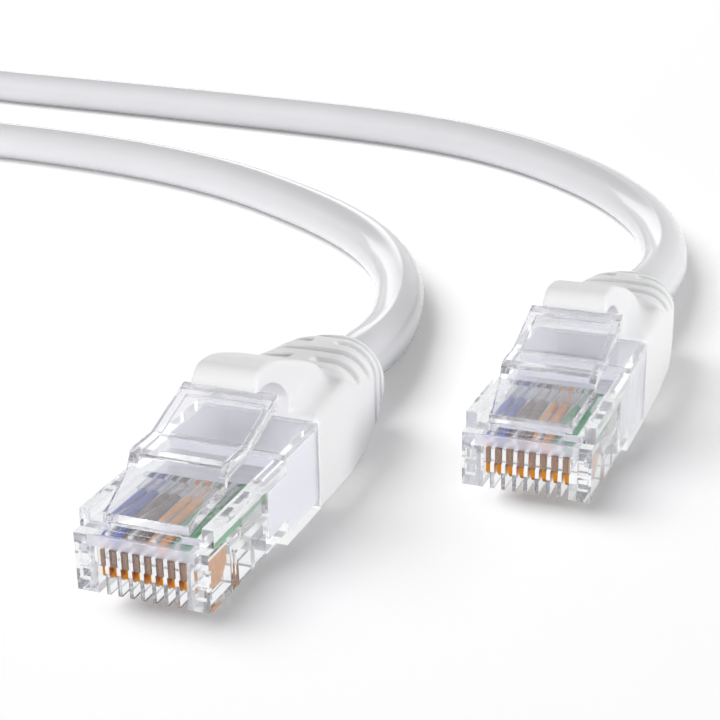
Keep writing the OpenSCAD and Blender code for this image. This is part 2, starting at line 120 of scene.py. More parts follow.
def skin(name, rings, lengths=None):
    """A closed mesh over rings of shape (n, m, 3), in metres. Its UV map holds the share of
    the way round in U and, in V, the length along the piece, in metres."""
    n, m = rings.shape[:2]
    row, col = np.meshgrid(np.arange(n - 1), np.arange(m), indexing="ij")
    here = row * m + col
    beside = row * m + (col + 1) % m
    quads = np.stack([here, beside, beside + m, here + m], -1).reshape(-1, 4)
    k = np.arange(m)
    first = np.stack([np.full(m, n * m), (k + 1) % m, k], -1)
    last = np.stack([np.full(m, n * m + 1), (n - 1) * m + k, (n - 1) * m + (k + 1) % m], -1)
    points = np.concatenate([rings.reshape(-1, 3), rings[[0, -1]].mean(1)])

    v = np.arange(n) * MM if lengths is None else np.asarray(lengths)
    u0, u1 = col.ravel() / m, (col.ravel() + 1) / m
    v0, v1 = v[row.ravel()], v[row.ravel() + 1]
    uv_quads = np.stack([u0, v0, u1, v0, u1, v1, u0, v1], -1).reshape(-1, 2)
    uv_first = np.stack([k / m, v[0] + 0 * k, (k + 1) / m, v[0] + 0 * k, k / m, v[0] + 0 * k], -1)
    uv_last = np.stack([k / m, v[-1] + 0 * k, k / m, v[-1] + 0 * k, (k + 1) / m, v[-1] + 0 * k], -1)
    uv = np.concatenate([uv_quads, uv_first.reshape(-1, 2), uv_last.reshape(-1, 2)])

    if not outward(points, np.concatenate([quads, np.c_[first, first[:, 2]], np.c_[last, last[:, 2]]])):
        quads, first, last = quads[:, ::-1], first[:, ::-1], last[:, ::-1]
        uv = np.concatenate([
            uv_quads.reshape(-1, 4, 2)[:, ::-1].reshape(-1, 2),
            uv_first.reshape(-1, 3, 2)[:, ::-1].reshape(-1, 2),
            uv_last.reshape(-1, 3, 2)[:, ::-1].reshape(-1, 2),
        ])

    mesh = bpy.data.meshes.new(name)
    mesh.from_pydata(points.tolist(), [], quads.tolist() + first.tolist() + last.tolist())
    mesh.uv_layers.new(name="UVMap").data.foreach_set("uv", uv.ravel().astype(np.float32))
    mesh.polygons.foreach_set("use_smooth", np.ones(len(mesh.polygons), bool))
    mesh.update()
    piece = bpy.data.objects.new(name, mesh)
    bpy.context.scene.collection.objects.link(piece)
    return piece


# %% Smooth path and swept tube
def smooth_path(points, step):
    """A Catmull-Rom curve through the points, resampled every step: each stretch is a cubic
    whose slope at a point is that of the chord between its two neighbours."""
    p = np.asarray(points, float)
    gaps = np.linalg.norm(np.diff(p, axis=0), axis=1)
    s = np.concatenate([[0.0], np.cumsum(gaps)])
    slope = np.empty_like(p)
    slope[1:-1] = (p[2:] - p[:-2]) / (s[2:] - s[:-2])[:, None]
    slope[0], slope[-1] = (p[1] - p[0]) / gaps[0], (p[-1] - p[-2]) / gaps[-1]
    at = np.linspace(0.0, s[-1], max(2, int(np.ceil(s[-1] / step)) + 1))
    i = np.clip(np.searchsorted(s, at, side="right") - 1, 0, len(gaps) - 1)
    h = gaps[i][:, None]
    t = ((at - s[i])[:, None]) / h
    return ((2 * t**3 - 3 * t**2 + 1) * p[i] + (t**3 - 2 * t**2 + t) * h * slope[i]
            + (3 * t**2 - 2 * t**3) * p[i + 1] + (t**3 - t**2) * h * slope[i + 1])


def tube_rings(path, radius, sides):
    """Rings round a path: each lies square to the path, with its first point on top. The
    points of a ring are centre + radius (cos t up + sin t side)."""
    along = np.gradient(path, axis=0)
    along /= np.linalg.norm(along, axis=1)[:, None]
    side = np.cross([0.0, 0.0, 1.0], along)
    side /= np.linalg.norm(side, axis=1)[:, None]
    up = np.cross(along, side)
    t = np.linspace(0, 2 * np.pi, sides, endpoint=False)[None, :, None]
    return path[:, None] + radius * (np.cos(t) * up[:, None] + np.sin(t) * side[:, None])


def lengths_along(path):
    """Length from the start of the path to each of its points."""
    return np.concatenate([[0.0], np.cumsum(np.linalg.norm(np.diff(path, axis=0), axis=1))])


# %% [markdown]
# ## Cable
#
# The cable is a round twisted-pair cable, 5.6 mm thick, with a white PVC
# jacket. It leaves each boot level, comes down to the table in a few
# diameters, bends round in a wide curve and runs off to one side, where the
# spare length lies in a flat coil: two and a half turns that spiral in, climb
# and spiral out again on top. A bevelled curve object would do, but a mesh
# tube carries a UV map, which the jacket's fine marks follow.

# %% Route of the cable, in millimetres
CABLE_R = 2.8
ROUTE_A = np.array([
    [-11.4, 12.5, 1.4], [-11.8, 18.5, 0.8], [-12.9, 25, 0.2], [-14.5, 31.5, 0],
    [-17, 38.5, 0], [-20.9, 45.8, 0], [-26.3, 52.9, 0], [-33.3, 59.6, 0],
    [-42, 66, 0], [-54, 73.2, 0], [-66, 78.2, 0], [-78, 81.5, 0],
    [-90, 83.6, 0], [-102, 84.8, 0], [-113, 84.6, 0], [-124, 82.9, 0],
    [-135, 79.6, 0], [-146, 75.3, 0], [-156, 71.4, 0], [-164, 69.1, 0],
])
ROUTE_B = np.array([
    [11.3, 40.5, 1.4], [11.3, 47, 0.8], [10.8, 54, 0.2], [9.4, 61.5, 0],
    [6.4, 70.5, 0], [2, 78.8, 0], [-4, 87, 0], [-11.2, 94.3, 0],
    [-20, 101.2, 0], [-29.5, 106.5, 0], [-40, 110.3, 0], [-51, 112.7, 0],
    [-63, 114.4, 0], [-75, 115.8, 0], [-87, 117.1, 0], [-99, 118.3, 0],
    [-112, 119.5, 0], [-125, 120.8, 0], [-136, 123.2, 0.3], [-146, 127, 1.6],
    [-155, 131, 3.5], [-164, 134.6, 5.4],
])
LIFT = np.array([0.0, 0.0, CABLE_R])
COIL_AT = np.array([-177.0, 102.0])
COIL_TURNS, COIL_STEP, COIL_R = 2.5, 6.1, 30.0


def coil_points(per_turn):
    """The coil from outside in and out again: a point at turn t lies at the radius R - step
    times the turns to the nearer end, and its height climbs one step in the middle half turn."""
    t = np.linspace(0, COIL_TURNS, int(COIL_TURNS * per_turn) + 1)
    radius = COIL_R + COIL_STEP * COIL_TURNS / 4 - COIL_STEP * np.minimum(t, COIL_TURNS - t)
    climb = np.clip((t - COIL_TURNS / 2) * 2 + 0.5, 0, 1)
    turn = 2 * np.pi * t
    return np.stack([
        COIL_AT[0] - radius * np.sin(turn),
        COIL_AT[1] - radius * np.cos(turn),
        CABLE_R + COIL_STEP * climb**2 * (3 - 2 * climb),
    ], -1)


# %% Cable
BOOT_END, CABLE_Z = 40.5, 4.4
exit_a = PLUG_AT["a"] + [0, BOOT_END, CABLE_Z]
exit_b = PLUG_AT["b"] + [0, BOOT_END, CABLE_Z]
coil = coil_points(24)
lead_in, lead_out = coil[0] + [5.6, 0, 0], coil[-1] + [5.6, 0, 0]
cable_path = smooth_path(np.concatenate([
    [exit_a], ROUTE_A + LIFT, [lead_in], coil, [lead_out], (ROUTE_B + LIFT)[::-1], [exit_b],
]), 1.5) * MM
cable_length = lengths_along(cable_path)[-1]
cable = skin("cable", tube_rings(cable_path, CABLE_R * MM, 28), lengths_along(cable_path))
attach(cable, "lead")
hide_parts("cable_run_a", "cable_run_b", "cable_coil")
print(f"cable: {cable_length:.3f} m along {len(cable_path)} rings")

# %% [markdown]
# ## Colours and shader nodes
#
# Colours are written as the sRGB hex values that a paint program shows. A
# shader works with linear light, so one function turns them. Another adds a
# node, sets it up and links it, which keeps each material short.

# %% Colour and node helpers
def linear(code):
    """An sRGB hex colour as linear red, green, blue and alpha: below 0.04045 the curve is
    straight, and above it each channel is ((c + 0.055) / 1.055) to the power 2.4."""
    c = np.array([int(code[k:k + 2], 16) for k in (1, 3, 5)]) / 255
    c = np.where(c <= 0.04045, c / 12.92, ((c + 0.055) / 1.055) ** 2.4)
    return (*c.tolist(), 1.0)


def add(tree, kind, inputs=None, **settings):
    """Adds one node. settings are its own options, and inputs holds a value or another
    node's output for each of its sockets, by name or number."""
    made = tree.nodes.new(kind)
    for name, value in settings.items():
        setattr(made, name, value)
    for name, value in (inputs or {}).items():
        if isinstance(value, bpy.types.NodeSocket):
            tree.links.new(value, made.inputs[name])
        else:
            made.inputs[name].default_value = value
    return made


def material(name):
    """An empty material and its node tree."""
    made = bpy.data.materials.new(name)
    made.use_nodes = True
    made.node_tree.nodes.clear()
    return made, made.node_tree


def output(tree, shader):
    """Joins a shader to the material's output."""
    add(tree, "ShaderNodeOutputMaterial", {"Surface": shader})


def two_tone(tree, factor, low, high):
    """A colour ramp between two hex colours, driven by factor."""
    ramp = add(tree, "ShaderNodeValToRGB", {"Fac": factor})
    ramp.color_ramp.elements[0].color = linear(low)
    ramp.color_ramp.elements[1].color = linear(high)
    return ramp


# %% [markdown]
# ## PVC jacket
#
# The cable's jacket is soft white PVC, drawn through a die. The die leaves
# faint lines along the cable, and the pairs inside push the jacket out a
# little in a slow twist. The die lines are bump, because they are too low to
# change the outline. The UV map runs round and along the cable, so the marks bend with it.

# %% Jacket of extruded PVC: white, smooth, with a soft sheen
def pvc_jacket():
    made, tree = material("extruded_pvc_white")
    uv = add(tree, "ShaderNodeTexCoord").outputs["UV"]
    # U is scaled by the 17.6 mm round the cable, so that the lines are 0.5 mm wide
    fine = add(tree, "ShaderNodeMapping", {"Vector": uv, "Scale": (35.0, 25.0, 1.0)})
    lines = add(tree, "ShaderNodeTexNoise", {"Vector": fine.outputs[0], "Scale": 1.0, "Detail": 2.0})
    place = add(tree, "ShaderNodeTexCoord").outputs["Object"]
    cloud = add(tree, "ShaderNodeTexNoise", {"Vector": place, "Scale": 90.0, "Detail": 2.0})
    tint = two_tone(tree, cloud.outputs[0], "#D9D9DC", "#DFDFE2")
    bump = add(tree, "ShaderNodeBump", {"Height": lines.outputs[0], "Strength": 0.05, "Distance": 0.0001})
    rough = add(tree, "ShaderNodeMapRange", {"Value": cloud.outputs[0], "To Min": 0.1, "To Max": 0.15})
    shader = add(tree, "ShaderNodeBsdfPrincipled", {
        "Base Color": tint.outputs[0], "Roughness": rough.outputs[0], "IOR": 1.54,
        "Normal": bump.outputs[0],
    })
    output(tree, shader.outputs[0])
    return made


JACKET = pvc_jacket()
cable.data.materials.append(JACKET)
for side in SIDES:
    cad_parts[f"cable_end_{side}"].data.materials.clear()
    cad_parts[f"cable_end_{side}"].data.materials.append(JACKET)
print("jacket on", cable.name)

# %% [markdown]
# ## Boot
#
# The boot is moulded from soft PVC over the back of the plug. Its front block
# has flat sides and a flat top that climbs a little. Behind it comes a round
# flexible tail with grooves: two of them stop either side of a spine along the
# top, so that the tail bends but doesn't stretch. It could be a box with loop
# cuts, but the change from a box to a circle is easier as rings: each ring is
# a rectangle with round corners, and at the end its corners meet in a circle.

# %% Rings of the boot
BOOT_Y = 21.46
TAIL_START = 29.5
EDGE_START = 40.1
FILLET, HOOD_HALF = 1.5, 3.07
# Where each groove is, whether a spine crosses it, and the height at which it starts
GROOVES = np.array([38.45, 36.05, 33.65, 31.25])
GROOVE_DEPTH, LEAN = 0.72, 0.4
SPINE = np.array([0.0, 1.0, 0.0, 1.0])
GROOVE_LOW = np.array([1.2, 1.4, 7.4, 7.9])


def ease(t):
    """A smooth step from 0 to 1: 3 t squared less 2 t cubed."""
    t = np.clip(t, 0, 1)
    return t * t * (3 - 2 * t)


def round_box(half_w, low, top, r_low, r_top, n_arc=14, n_top=41, n_side=9):
    """Rings of rectangles with round corners, for arrays of sizes of shape (n, 1): points
    in X and Z, and their outward normals. It starts low on the right and goes up, over the
    top and round. Each corner is an arc, and straight rows of points join the arcs."""
    q = np.linspace(0, np.pi / 2, n_arc)[None]
    s = np.linspace(0, 1, n_side + 2)[None, 1:-1]
    w = np.linspace(0, 1, n_top + 2)[None, 1:-1]
    one_s, one_w = np.ones_like(s), np.ones_like(w)
    x = np.concatenate([
        half_w - r_low + r_low * np.sin(q), half_w * one_s,
        half_w - r_top + r_top * np.cos(q), (half_w - r_top) * (1 - 2 * w),
        -half_w + r_top - r_top * np.sin(q), -half_w * one_s,
        -half_w + r_low - r_low * np.cos(q), (half_w - r_low) * (2 * w - 1),
    ], 1)
    z = np.concatenate([
        low + r_low - r_low * np.cos(q), low + r_low + (top - r_top - low - r_low) * s,
        top - r_top + r_top * np.sin(q), top * one_w,
        top - r_top + r_top * np.cos(q), top - r_top - (top - r_top - low - r_low) * s,
        low + r_low - r_low * np.sin(q), low * one_w,
    ], 1)
    same = np.ones_like(half_w)
    nx = same * np.concatenate([
        np.sin(q), one_s, np.cos(q), 0 * one_w, -np.sin(q), -one_s, -np.cos(q), 0 * one_w], 1)
    nz = same * np.concatenate([
        -np.cos(q), 0 * one_s, np.sin(q), one_w, np.cos(q), 0 * one_s, -np.sin(q), -one_w], 1)
    return x, z, nx, nz


def boot_rings():
    """The boot from its front face to its mouth, in millimetres. Sizes at each station come
    from straight stretches between a few known ones. A groove sinks slowly towards the
    back, pushed in along the normals, and ends in a steep wall that faces forwards, so the
    tail looks shingled. It fades out at its lower end, and where a spine crosses it."""
    y = np.unique(np.concatenate([
        BOOT_Y + 0.6 * (1 - np.cos(np.linspace(0, np.pi / 2, 9))), np.linspace(22.4, 28.4, 18),
        np.linspace(28.5, 29.55, 31), np.linspace(29.6, EDGE_START, 190),
        np.linspace(EDGE_START, BOOT_END, 9)]))
    # The block's top turns up into the tail's front edge in a quarter circle
    tail = 1 - np.sqrt(1 - np.clip((y - TAIL_START + 0.95) / 0.95, 0, 1) ** 2)
    slim = ease((y - 29) / 6)
    half_w = np.interp(y, [21.46, 28, 30, 32, 34, 36.2, 38.5, 40.5],
                       [5.9, 5.9, 5.84, 5.68, 5.45, 5.15, 4.75, 4.35])
    block_top = np.interp(y, [21.46, 29.5], [8.72, 9.35])
    tail_top = np.interp(y, [29.5, 33.6, 36, 38.4, 40.5], [10.15, 10.08, 9.98, 9.5, 8.9])
    top = block_top * (1 - tail) + tail_top * tail
    low = 0.1 * slim
    r_top = np.interp(y, [21.46, 22.5, 28.5, 29.8, 36.2, 40.5], [0.5, 0.9, 0.9, 2.2, 3.2, 4.3])
    r_low = np.interp(y, [21.46, 29, 36.2, 40.5], [0.3, 0.4, 2.6, 4.3])
    # The first and last rings are drawn in, so that the edges there are round
    front = 1 - np.sqrt(1 - np.clip(1 - (y - BOOT_Y) / 0.6, 0, 1) ** 2)
    edge = 0.4 * (1 - np.sqrt(1 - np.clip((y - EDGE_START) / 0.4, 0, 1) ** 2))
    x, z, nx, nz = round_box(*[v[:, None] for v in (
        half_w - 0.2 * front - edge, low + 0.2 * front + edge, top - 0.45 * front - edge, r_low, r_top)])
    # The crown: the tail's top bulges up to its middle line
    crown = 0.35 * tail * ease((BOOT_END - y) / 8)
    z = z - crown[:, None] * np.clip(np.abs(x) / half_w[:, None], 0, 1) ** 2 * np.clip(nz, 0, 1)
    # Fillet of 1.5 mm between the block's top and the ridge that stands on it
    in_fillet = np.clip((np.abs(x) - HOOD_HALF + 0.12) / FILLET, 0, 1)
    rise = FILLET * (1 - np.sqrt(1 - (1 - in_fillet) ** 2)) * (np.abs(x) > HOOD_HALF - 0.4)
    along = (1 - tail) * ease((y - BOOT_Y) / 1.2) * np.interp(y, [28, 29.4], [1, 0.4])
    z = z + rise * ((z > 8) & (nz > 0.5)) * along[:, None]
    past = y[:, None, None] - GROOVES
    near = ease((past + 0.75) / 0.6) * (1 - ease((past - 0.24) / 0.18))
    over = ease((np.abs(x)[..., None] - 1.0) / 0.5) * SPINE + (1 - SPINE)
    over = np.where((z < 6)[..., None], 1.0, over) * ease((z[..., None] - GROOVE_LOW) / 1.3)
    depth = GROOVE_DEPTH * (near * over).sum(-1)
    x, z = x - depth * nx, z - depth * nz
    # The tail leans a little to one side with its cable
    x = x + (LEAN * ease((y - TAIL_START) / 4))[:, None]
    rings = np.stack([x, np.broadcast_to(y[:, None], x.shape), z], -1)
    # The mouth: from the back edge inwards to the cable, then a little way along it
    turn = np.arctan2(rings[-1, :, 2] - CABLE_Z, rings[-1, :, 0])
    mouth = [np.stack([r * np.cos(turn), 0 * turn + end, CABLE_Z + r * np.sin(turn)], -1)
             for r, end in ((3.4, 40.5), (3.0, 40.48), (2.86, 40.3), (2.84, 39.4))]
    return np.concatenate([rings, mouth])


boots = {}
for side in SIDES:
    boots[side] = skin(f"boot_shell_{side}", placed(boot_rings(), side))
    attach(boots[side], "lead")
    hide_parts(f"boot_{side}")
print("boot faces:", len(boots["a"].data.polygons))

# %% [markdown]
# ## Hood
#
# The hood is one moulding with the boot. It arches over the latch's tip so
# that the latch doesn't catch when the lead is pulled, and it bends at its
# root when it is pressed. The piece is a rounded bar swept along two curves:
# one for its upper side, one for its arched under side.

# %% Rings of the hood
ARCH_Y, ARCH_Z, ARCH_R = 16.5, 6.935, 6.16
LIP_Y, LIP_Z, LIP_R = 15.45, 13.095, 1.65


def hood_rings():
    """The hood and the ridge behind it, in millimetres. A station runs from a point on the
    under side to one on the upper side. Its ring is a rectangle with round corners: X
    across the hood, and the share of the way up the station."""
    turn = np.radians(np.linspace(180, 90, 15))
    nose = np.stack([LIP_Y + LIP_R + LIP_R * np.cos(turn), LIP_Z + LIP_R * np.sin(turn)], -1)
    back = smooth_path([[17.1, 14.745], [18.9, 14.56], [20.9, 13.95], [22.9, 13.2], [24.8, 12.45],
                        [26.6, 11.65], [28.0, 10.95], [29.0, 10.3], [29.5, 9.75], [30.4, 9.4]], 0.2)
    upper = np.concatenate([nose, back[1:]])
    arch = np.linspace(LIP_Y + 0.06, 21.75, 48)
    under = np.concatenate([
        np.stack([arch, ARCH_Z + np.sqrt(ARCH_R**2 - (arch - ARCH_Y) ** 2)], -1),
        np.stack([np.linspace(21.76, 21.6, 10), np.linspace(10.0, 8.0, 10)], -1),
        np.stack([np.linspace(21.9, 30.4, 30), np.full(30, 8.0)], -1)])
    n = 110
    at = np.linspace(0, 1, n)
    up_s, un_s = lengths_along(upper), lengths_along(under)
    # Known pairs: nose tip, top of the nose, over the wall's top, behind the wall, back end
    y_pairs = np.array([0, 0.14, 0.5, 0.62, 1.0])
    up_at = np.interp(at, y_pairs, [0, up_s[14], np.interp(23.0, upper[14:, 0], up_s[14:]),
                                    np.interp(24.0, upper[14:, 0], up_s[14:]), up_s[-1]])
    un_at = np.interp(at, y_pairs, [0, np.interp(17.1, under[:48, 0], un_s[:48]), un_s[47],
                                    un_s[57], un_s[-1]])
    top = np.stack([np.interp(up_at, up_s, upper[:, k]) for k in (0, 1)], -1)
    low = np.stack([np.interp(un_at, un_s, under[:, k]) for k in (0, 1)], -1)
    thick = np.linalg.norm(top - low, axis=1)[:, None]
    r = np.minimum(0.55, 0.45 * thick)
    edge = np.sqrt(np.clip(1 - (1 - np.clip(np.arange(n) / 4.0, 0, 1)) ** 2, 0.02, 1))[:, None]
    half = HOOD_HALF * np.ones((n, 1)) - 0.25 * (1 - edge)
    x, z, _, _ = round_box(half, np.zeros((n, 1)), thick, 0.3 * r, r, n_arc=8, n_top=11, n_side=7)
    share = (z / thick)[..., None]
    yz = low[:, None] * (1 - share) + top[:, None] * share
    return np.concatenate([x[..., None], yz], -1)


hoods = {}
for side in SIDES:
    hoods[side] = skin(f"hood_shell_{side}", placed(hood_rings(), side))
    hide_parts(f"boot_hood_{side}")
    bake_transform(hoods[side])
print("hood faces:", len(hoods["a"].data.polygons))

# %% [markdown]
# ## Moulded PVC
#
# The boot is softer than the jacket and comes out of a satin mould, so its
# sheen is wider and weaker. A fine grain breaks up the highlights, and a slow
# noise shifts the white a little, as thick and thin places do in soft plastic.

# %% Boot of moulded soft PVC: satin white, a little warmer than the jacket
def pvc_boot():
    made, tree = material("moulded_soft_pvc_white")
    place = add(tree, "ShaderNodeTexCoord").outputs["Object"]
    cloud = add(tree, "ShaderNodeTexNoise", {"Vector": place, "Scale": 140.0, "Detail": 3.0})
    # Satin grain of 0.15 mm
    grain = add(tree, "ShaderNodeTexNoise", {"Vector": place, "Scale": 6500.0, "Detail": 1.0})
    tint = two_tone(tree, cloud.outputs[0], "#EAEAEB", "#EFEFF0")
    bump = add(tree, "ShaderNodeBump", {"Height": grain.outputs[0], "Strength": 0.06, "Distance": 0.00005})
    rough = add(tree, "ShaderNodeMapRange", {"Value": cloud.outputs[0], "To Min": 0.42, "To Max": 0.52})
    shader = add(tree, "ShaderNodeBsdfPrincipled", {
        "Base Color": tint.outputs[0], "Roughness": rough.outputs[0], "IOR": 1.5,
        "Subsurface Weight": 0.03, "Subsurface Radius": (0.4, 0.4, 0.4), "Subsurface Scale": 0.001,
        "Normal": bump.outputs[0],
    })
    output(tree, shader.outputs[0])
    return made


BOOT = pvc_boot()
for side in SIDES:
    boots[side].data.materials.append(BOOT)
    hoods[side].data.materials.append(BOOT)
print("boot material on", len(boots) + len(hoods), "pieces")

# %% [markdown]
# ## Clear plastic
#
# The plug body, the latch and the wire guide are polycarbonate, injected into
# a polished mould: clear, bright at every edge, with faint waves where the
# plastic flowed. Glass in Cycles makes hard shadows, because light from a lamp
# doesn't find its way through it. So rays on their way to a lamp see a pale
# Transparent shader here, and all others see the real one.

# %% Clear parts of injected polycarbonate: polished, IOR 1.585
def polycarbonate(name, tint, haze, roughness=0.03):
    made, tree = material(name)
    place = add(tree, "ShaderNodeTexCoord").outputs["Object"]
    # Flow waves some 3 mm long
    wave = add(tree, "ShaderNodeTexNoise", {"Vector": place, "Scale": 330.0, "Detail": 1.0})
    bump = add(tree, "ShaderNodeBump", {"Height": wave.outputs[0], "Strength": 0.12, "Distance": 0.0001})
    body = add(tree, "ShaderNodeBsdfPrincipled", {
        "Base Color": linear(tint), "Roughness": roughness, "IOR": 1.585,
        "Transmission Weight": 1.0 - haze, "Normal": bump.outputs[0],
    })
    clear = add(tree, "ShaderNodeBsdfTransparent", {"Color": linear("#FAFAFC")})
    rays = add(tree, "ShaderNodeLightPath")
    mix = add(tree, "ShaderNodeMixShader", {
        0: rays.outputs["Is Shadow Ray"], 1: body.outputs[0], 2: clear.outputs[0]})
    output(tree, mix.outputs[0])
    return made


CLEAR = polycarbonate("polycarbonate_clear", "#FCFDFE", 0.02)
SATIN = polycarbonate("polycarbonate_satin", "#ECEAF3", 0.3, roughness=0.32)
CLEAR_LATCH = polycarbonate("polycarbonate_clear_latch", "#FBFBFE", 0.03)
print("clear materials:", CLEAR.name, SATIN.name, CLEAR_LATCH.name)

# %% [markdown]
# ## Clear pieces with worn edges
#
# A solid from the drawing has perfectly sharp edges, and clear plastic shows
# every edge it has. A copy of the plug body and of the latch gets its loose
# triangles merged and a narrow round bevel, so that each edge catches light as a
# moulded one does. The copy takes the solid's place, and the solid is hidden. The
# plug's front over the contacts is satin: the copy is cut along three planes, so
# that the satin ends at straight lines.

# %% Rounded copies of the plug body and the latch
def rounded_copy(node, name, width, mat, cuts=()):
    """A merged copy of a solid with its sharp edges bevelled, and cut in two along each of
    the given planes, a point and a normal."""
    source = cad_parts[node]
    mesh = source.data.copy()
    mesh.name = name
    work = bmesh.new()
    work.from_mesh(mesh)
    bmesh.ops.remove_doubles(work, verts=work.verts, dist=1e-7)
    bmesh.ops.recalc_face_normals(work, faces=work.faces)
    for spot, normal in cuts:
        every = work.verts[:] + work.edges[:] + work.faces[:]
        bmesh.ops.bisect_plane(work, geom=every, plane_co=spot, plane_no=normal, dist=1e-7)
    work.to_mesh(mesh)
    work.free()
    # The import's own normals no longer fit the merged faces, which are flat
    mesh.attributes.remove(mesh.attributes["custom_normal"])
    mesh.polygons.foreach_set("use_smooth", np.zeros(len(mesh.polygons), bool))
    mesh.materials.clear()
    mesh.materials.append(mat)
    piece = bpy.data.objects.new(name, mesh)
    bpy.context.scene.collection.objects.link(piece)
    bevel = piece.modifiers.new("edges", "BEVEL")
    bevel.width = width * MM
    bevel.segments = 2
    bevel.limit_method = "ANGLE"
    bevel.angle_limit = np.radians(30)
    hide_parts(node)
    return piece


def satin_nose(piece, side):
    """Gives the satin finish to the faces over the contacts: those whose middles lie less than
    SATIN_BACK behind the front, above SATIN_LOW and less than SATIN_HALF off the middle."""
    mesh = piece.data
    mesh.materials.append(SATIN)
    spots = np.array([f.center[:] for f in mesh.polygons]) / MM - PLUG_AT[side]
    over = (spots[:, 2] > SATIN_LOW) & (spots[:, 1] < SATIN_BACK) & (np.abs(spots[:, 0]) < SATIN_HALF)
    mesh.polygons.foreach_set("material_index", over.astype(np.int32))


SATIN_LOW, SATIN_BACK, SATIN_HALF = 5.3, 0.4, 4.7
for side in SIDES:
    plug = rounded_copy(f"plug_housing_{side}", f"plug_body_{side}", 0.07, CLEAR, [
        (placed([0, 0, SATIN_LOW], side).tolist(), (0, 0, 1)),
        (placed([-SATIN_HALF, 0, 0], side).tolist(), (1, 0, 0)),
        (placed([SATIN_HALF, 0, 0], side).tolist(), (1, 0, 0))])
    satin_nose(plug, side)
    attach(plug, "lead")
    latch = rounded_copy(f"latch_{side}", f"spring_latch_{side}", 0.09, CLEAR_LATCH)
    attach(latch, f"latch_{side}")
print("clear pieces:", plug.name, latch.name)

# %% [markdown]
# ## Conductors
#
# Each conductor is a copper core in coloured polyethylene: four pairs, each of
# one plain colour and one white with a stripe of that colour. They lie flat
# side by side over the contacts, dip into two rows and draw together into the
# cable. A tube is swept along the same formula that the solids follow, and its
# UV map puts the stripe along it.

# %% Paths of the conductors
WIRE_R = 0.46
PITCH = 1.016


def wire_path(i):
    """Conductor i from 1 to 8, in millimetres: level up to the fan, where X and Z ease from
    the flat row to one of two rows of four, and then level again into the cable."""
    k = (i - 4.5) * PITCH
    row_x = ((i - 1) // 2 - 1.5) * 0.98
    row_z = CABLE_Z + (0.6 if i % 2 else -0.6)
    t = np.linspace(0, 1, 26)
    fan = np.stack([
        k + (row_x - k) * ease((t - 0.25) / 0.75),
        11.9 + (16.36 - 11.9) * t,
        5.62 + (row_z - 5.62) * ease(t / 0.55)], -1)
    start = np.stack([np.full(12, k), np.linspace(0.9, 11.5, 12), np.full(12, 5.62)], -1)
    return np.concatenate([start, fan, [[row_x, 18.1, row_z]]])


# %% Insulation of coloured polyethylene: glossy, with a printed stripe on the whites
def insulation(name, colour, deep, stripe=None):
    made, tree = material(name)
    coord = add(tree, "ShaderNodeTexCoord")
    cloud = add(tree, "ShaderNodeTexNoise", {
        "Vector": coord.outputs["Object"], "Scale": 800.0, "Detail": 1.0})
    rough = add(tree, "ShaderNodeMapRange", {"Value": cloud.outputs[0], "To Min": 0.25, "To Max": 0.4})
    tint = two_tone(tree, cloud.outputs[0], colour, deep).outputs[0]
    if stripe:
        # The stripe winds slowly round: one turn in 25 mm
        split = add(tree, "ShaderNodeSeparateXYZ", {"Vector": coord.outputs["UV"]})
        turn = add(tree, "ShaderNodeMath", {0: split.outputs[1], 1: 40.0, 2: split.outputs[0]},
                   operation="MULTIPLY_ADD")
        part = add(tree, "ShaderNodeMath", {0: turn.outputs[0]}, operation="FRACT")
        on = add(tree, "ShaderNodeMath", {0: part.outputs[0], 1: 0.26}, operation="LESS_THAN")
        mix = add(tree, "ShaderNodeMix", {"Factor": on.outputs[0]}, data_type="RGBA")
        tree.links.new(tint, mix.inputs[6])
        mix.inputs[7].default_value = linear(stripe)
        tint = mix.outputs[2]
    shader = add(tree, "ShaderNodeBsdfPrincipled", {
        "Base Color": tint, "Roughness": rough.outputs[0], "IOR": 1.51})
    output(tree, shader.outputs[0])
    return made


BLUE, BROWN, ORANGE, GREEN, WHITE = "#2F49B8", "#6F4A33", "#EFA02C", "#1E9B57", "#E9EAEC"
DEEP = {BLUE: "#29409F", BROWN: "#5F3E2A", ORANGE: "#DD8E20", GREEN: "#198A4C", WHITE: "#DFE0E4"}
WIRES = [("white_blue", WHITE, BLUE), ("blue", BLUE, None), ("white_brown", WHITE, BROWN),
         ("brown", BROWN, None), ("white_orange", WHITE, ORANGE), ("orange", ORANGE, None),
         ("white_green", WHITE, GREEN), ("green", GREEN, None)]
INSULATION = [insulation(f"polyethylene_{name}", base, DEEP[base], mark) for name, base, mark in WIRES]
print("insulation:", [m.name for m in INSULATION])

# %% Conductors
for side in SIDES:
    for i, (colour_name, _, _) in enumerate(WIRES, start=1):
        path = smooth_path(wire_path(i), 0.35)
        rings = tube_rings(path, WIRE_R, 16)
        # The cut front end: the insulation's rim is drawn in a little
        rings[0] = path[0] + (rings[0] - path[0]) * 0.9
        wire = skin(f"wire_{side}{i}", placed(rings, side), lengths_along(path) * MM)
        wire.data.materials.append(INSULATION[i - 1])
        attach(wire, "lead")
        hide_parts(f"conductor_{side}{i}")
print("conductors:", 2 * len(WIRES))

# %% [markdown]
# ## Contacts, guide and cable seat
#
# The contacts are phosphor bronze plated with gold, stamped flat and polished.
# The guide is the same clear plastic as the plug. The seat that grips the
# cable is milky polyethylene, which scatters light inside it.

# %% Gold plating: polished, warm, a few grinding marks, and painted shade on the upper front edge
GOLD_TOP = 3.3


